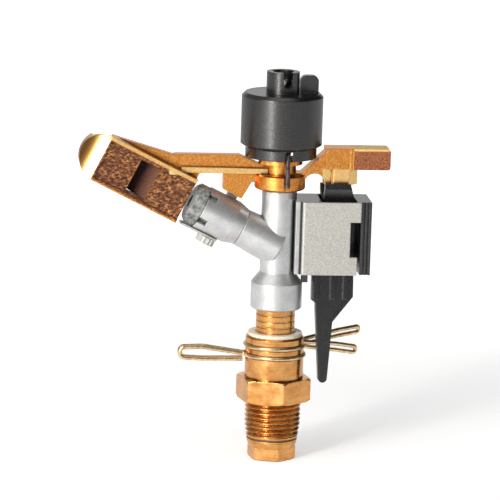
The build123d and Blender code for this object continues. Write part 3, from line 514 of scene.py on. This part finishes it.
def dress_nodes():
    """Each material slot of the record gets its procedural material, on every node that has it."""
    looks = {
        "machined_brass": machined_brass(),
        "cast_brass": cast_brass(),
        "bronze_wire": wire("bronze_wire", (0.66, 0.44, 0.22), (0.93, 0.74, 0.46), 0.3),
        "cast_alloy": cast_alloy(),
        "nozzle_grey": nozzle_grey(),
        "plate_alloy": plate_alloy(),
        "black_plastic": black_plastic(),
        "white_nylon": moulded("white_nylon", (0.80, 0.72, 0.56), (0.90, 0.84, 0.70), 0.42),
        "clear_grey_plastic": moulded(
            "clear_grey_plastic",
            (0.62, 0.61, 0.58),
            (0.80, 0.79, 0.76),
            0.25,
            grain_scale=900,
            transmission=0.35,
        ),
        "seal_rubber": moulded("seal_rubber", (0.10, 0.05, 0.025), (0.20, 0.11, 0.06), 0.6),
        "spring_steel": wire("spring_steel", (0.42, 0.42, 0.43), (0.62, 0.62, 0.62), 0.25),
        "dark_spring_steel": wire("dark_spring_steel", (0.05, 0.04, 0.05), (0.16, 0.13, 0.14), 0.30),
    }
    for part in frame["record"]["subparts"]:
        mesh = frame["nodes"][part["node"]].data
        mesh.materials.clear()
        mesh.materials.append(looks[part["material_slot"]])
    return looks


def thread_profile(turn):
    """Depth share of a rounded V thread, 0 on the crest and 1 in the root."""
    slope = abs(turn % 1.0 - 0.5) * 2
    return 1 - min(1, max(0, (slope - CREST_FLAT) / FLANK_SHARE))


def nipple_radius_at(angle, height):
    """Outer radius of the nipple at an angle and a height."""
    if height < 0:
        taper = max(0, (THREAD_END + THREAD_TAPER - height) / THREAD_TAPER)
        crest = THREAD_RADIUS + (THREAD_TIP_RADIUS - THREAD_RADIUS) * taper
        run_out = min(1, max(0, (-height - THREAD_FADE_START) / THREAD_FADE_LENGTH))
        return crest - THREAD_DEPTH * run_out * thread_profile(height / THREAD_PITCH - angle / tau)
    if height <= HEX_HEIGHT:
        sector = (angle - HEX_TURN) % (pi / 3) - pi / 6
        corner = HEX_WIDTH / 2 / cos(pi / 6)
        edge = min(height, HEX_HEIGHT - height)
        cone = corner - HEX_CHAMFER + edge / CHAMFER_SLOPE
        return min(HEX_WIDTH / 2 / cos(sector), cone)
    for groove in CLIP_HEIGHTS:
        if abs(height - groove) < CLIP_GROOVE:
            return NIPPLE_RADIUS - (CLIP_GROOVE**2 - (height - groove) ** 2) ** 0.5
    return NIPPLE_RADIUS - max(0, height - NIPPLE_TOP + NIPPLE_CHAMFER)


def nipple_heights():
    """Rows of the nipple's outer skin, closer where the form turns quickly."""
    rows = [THREAD_END + step * THREAD_ROW for step in range(int(-THREAD_END / THREAD_ROW))]
    rows += [-THREAD_FADE_START, -STEP_ROW, 0.0]
    chamfer_rows = (0.1, 0.25, 0.4, 0.6, 0.9, 1.4)
    rows += [edge * MM for edge in chamfer_rows]
    rows += [2.5 * MM, 4.3 * MM, 6.2 * MM]
    rows += [HEX_HEIGHT - edge * MM for edge in reversed(chamfer_rows)]
    rows += [HEX_HEIGHT, HEX_HEIGHT + STEP_ROW, 12 * MM, 15 * MM]
    groove_rows = (-1.02, -0.99, -0.9, -0.7, -0.4, 0, 0.4, 0.7, 0.9, 0.99, 1.02)
    for groove in CLIP_HEIGHTS:
        rows += [groove + CLIP_GROOVE * share for share in groove_rows]
    rows += [NIPPLE_TOP - NIPPLE_CHAMFER, NIPPLE_TOP - NIPPLE_CHAMFER / 2, NIPPLE_TOP]
    return rows


def mesh_from_rows(name, rings):
    """Closed tube of quads through rings of points, the last ring joined to the first."""
    mesh = bpy.data.meshes.new(name)
    count = len(rings[0])
    faces = []
    for row in range(len(rings)):
        below, above = row * count, (row + 1) % len(rings) * count
        for side in range(count):
            after = (side + 1) % count
            faces.append((below + side, below + after, above + after, above + side))
    mesh.from_pydata([point for ring in rings for point in ring], [], faces)
    shape = bmesh.new()
    shape.from_mesh(mesh)
    bmesh.ops.recalc_face_normals(shape, faces=shape.faces)
    shape.to_mesh(mesh)
    shape.free()
    mesh.shade_smooth()
    mesh.set_sharp_from_angle(angle=SHARP_ANGLE)
    piece = bpy.data.objects.new(name, mesh)
    bpy.context.scene.collection.objects.link(piece)
    return piece


def ring_of(radius_at, height):
    angles = [tau * step / NIPPLE_SIDES for step in range(NIPPLE_SIDES)]
    return [(radius_at(a, height) * cos(a), radius_at(a, height) * sin(a), height) for a in angles]


def bearing_nipple(material):
    """The nipple again with its real thread, hexagon and clip grooves in one turned skin."""
    rings = [ring_of(nipple_radius_at, height) for height in nipple_heights()]
    inner = [
        (COUNTERBORE_RADIUS, NIPPLE_TOP),
        (COUNTERBORE_RADIUS, COUNTERBORE_FLOOR),
        (NIPPLE_BORE, COUNTERBORE_FLOOR),
        (NIPPLE_BORE, THREAD_END),
    ]
    for radius, height in inner:
        rings.append(ring_of(lambda angle, level, size=radius: size, height))
    piece = mesh_from_rows("threaded_nipple", rings)
    piece.data.materials.append(material)
    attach(piece, "base")
    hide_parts("bearing_nipple")


def area_light(name, azimuth, elevation, distance, width, height, radiance, colour=WHITE):
    """Softbox aimed at the object, its power set from its brightness and size."""
    data = bpy.data.lights.new(name, "AREA")
    data.shape = "RECTANGLE"
    data.size, data.size_y = width, height
    data.energy = radiance * pi * width * height
    data.color = colour
    light = bpy.data.objects.new(name, data)
    bpy.context.scene.collection.objects.link(light)
    back = toward(azimuth, elevation)
    light.location = LIGHT_AIM + back * distance
    light.rotation_mode = "QUATERNION"
    light.rotation_quaternion = (-back).to_track_quat("-Z", "Y")


def light_studio():
    """Broad key with a bright strip in it from the left, a weak fill from the right, one above."""
    area_light("key_softbox", radians(-44), radians(22), 0.9, 0.42, 0.8, 3.0, (1.0, 0.98, 0.95))
    area_light("strip_softbox", radians(-36), radians(14), 0.9, 0.10, 0.9, 22.0, (1.0, 0.97, 0.92))
    area_light("fill_softbox", radians(100), radians(12), 1.2, 0.3, 0.9, 0.5)
    area_light("top_softbox", radians(-20), radians(78), 1.0, 0.7, 0.7, 1.0)


def seen_directly(graph):
    """1 for rays to the camera or through glass, and 1 for rays in gloss."""
    path = graph.add("ShaderNodeLightPath")
    shown = graph.math("MAXIMUM", path.outputs["Is Camera Ray"], path.outputs["Is Transmission Ray"])
    return shown, path.outputs["Is Glossy Ray"]


def grey(level):
    return (level, level, level)


def make_world():
    """White backdrop behind the object; gloss also shows the dim room in front, darker to the right."""
    world = bpy.data.worlds.new("studio")
    bpy.context.scene.world = world
    world.use_nodes = True
    graph = Graph(world.node_tree)
    shown, glossy = seen_directly(graph)
    side, depth, _height = parts_of(graph, graph.add("ShaderNodeTexCoord").outputs["Generated"])
    room = graph.ramp(
        graph.math("MULTIPLY_ADD", side, 0.5, 0.5),
        (0.0, grey(0.08)),
        (0.14, grey(0.36)),
        (0.38, grey(0.22)),
        (0.60, grey(0.04)),
        (1.0, grey(0.03)),
    )
    reflected = graph.mix(graph.span(depth, 0.8, 0.99), room, WHITE)
    colour = graph.mix(shown, graph.mix(glossy, grey(ROOM_LIGHT), reflected), WHITE)
    background = graph.add("ShaderNodeBackground", {"Color": colour, "Strength": 1.0})
    output = graph.add("ShaderNodeOutputWorld")
    graph.tree.links.new(background.outputs[0], output.inputs["Surface"])


def make_floor():
    """Pale floor under the lowest piece, white to the camera and still shaded by the object."""
    mesh = bpy.data.meshes.new("floor")
    signs = ((-1, -1), (1, -1), (1, 1), (-1, 1))
    corners = [(x * FLOOR_SIZE, y * FLOOR_SIZE, 0) for x, y in signs]
    mesh.from_pydata(corners, [], [(0, 1, 2, 3)])
    floor = bpy.data.objects.new("floor", mesh)
    bpy.context.scene.collection.objects.link(floor)
    floor.location.z = cad_low.z - FLOOR_GAP
    material, graph = new_material("floor_white")
    shown, glossy = seen_directly(graph)
    place = place_of(graph)
    grain = graph.noise(place, 40, 2)
    distance = graph.add("ShaderNodeVectorMath", {0: place}, operation="LENGTH").outputs["Value"]
    lift = graph.math("MULTIPLY", shown, graph.span(distance, 0.05, 0.6, 0.45, 0.85))
    close_material(
        graph,
        Base_Color=graph.ramp(grain, (0.3, grey(0.80)), (0.7, grey(0.82))),
        Roughness=0.9,
        Emission_Color=WHITE,
        Emission_Strength=graph.math("MAXIMUM", lift, graph.math("MULTIPLY", glossy, FLOOR_GLOSS)),
    )
    mesh.materials.append(material)


make_camera()
finishes = dress_nodes()
bearing_nipple(finishes["machined_brass"])
light_studio()
make_world()
make_floor()
bpy.context.scene.view_settings.view_transform = "Standard"
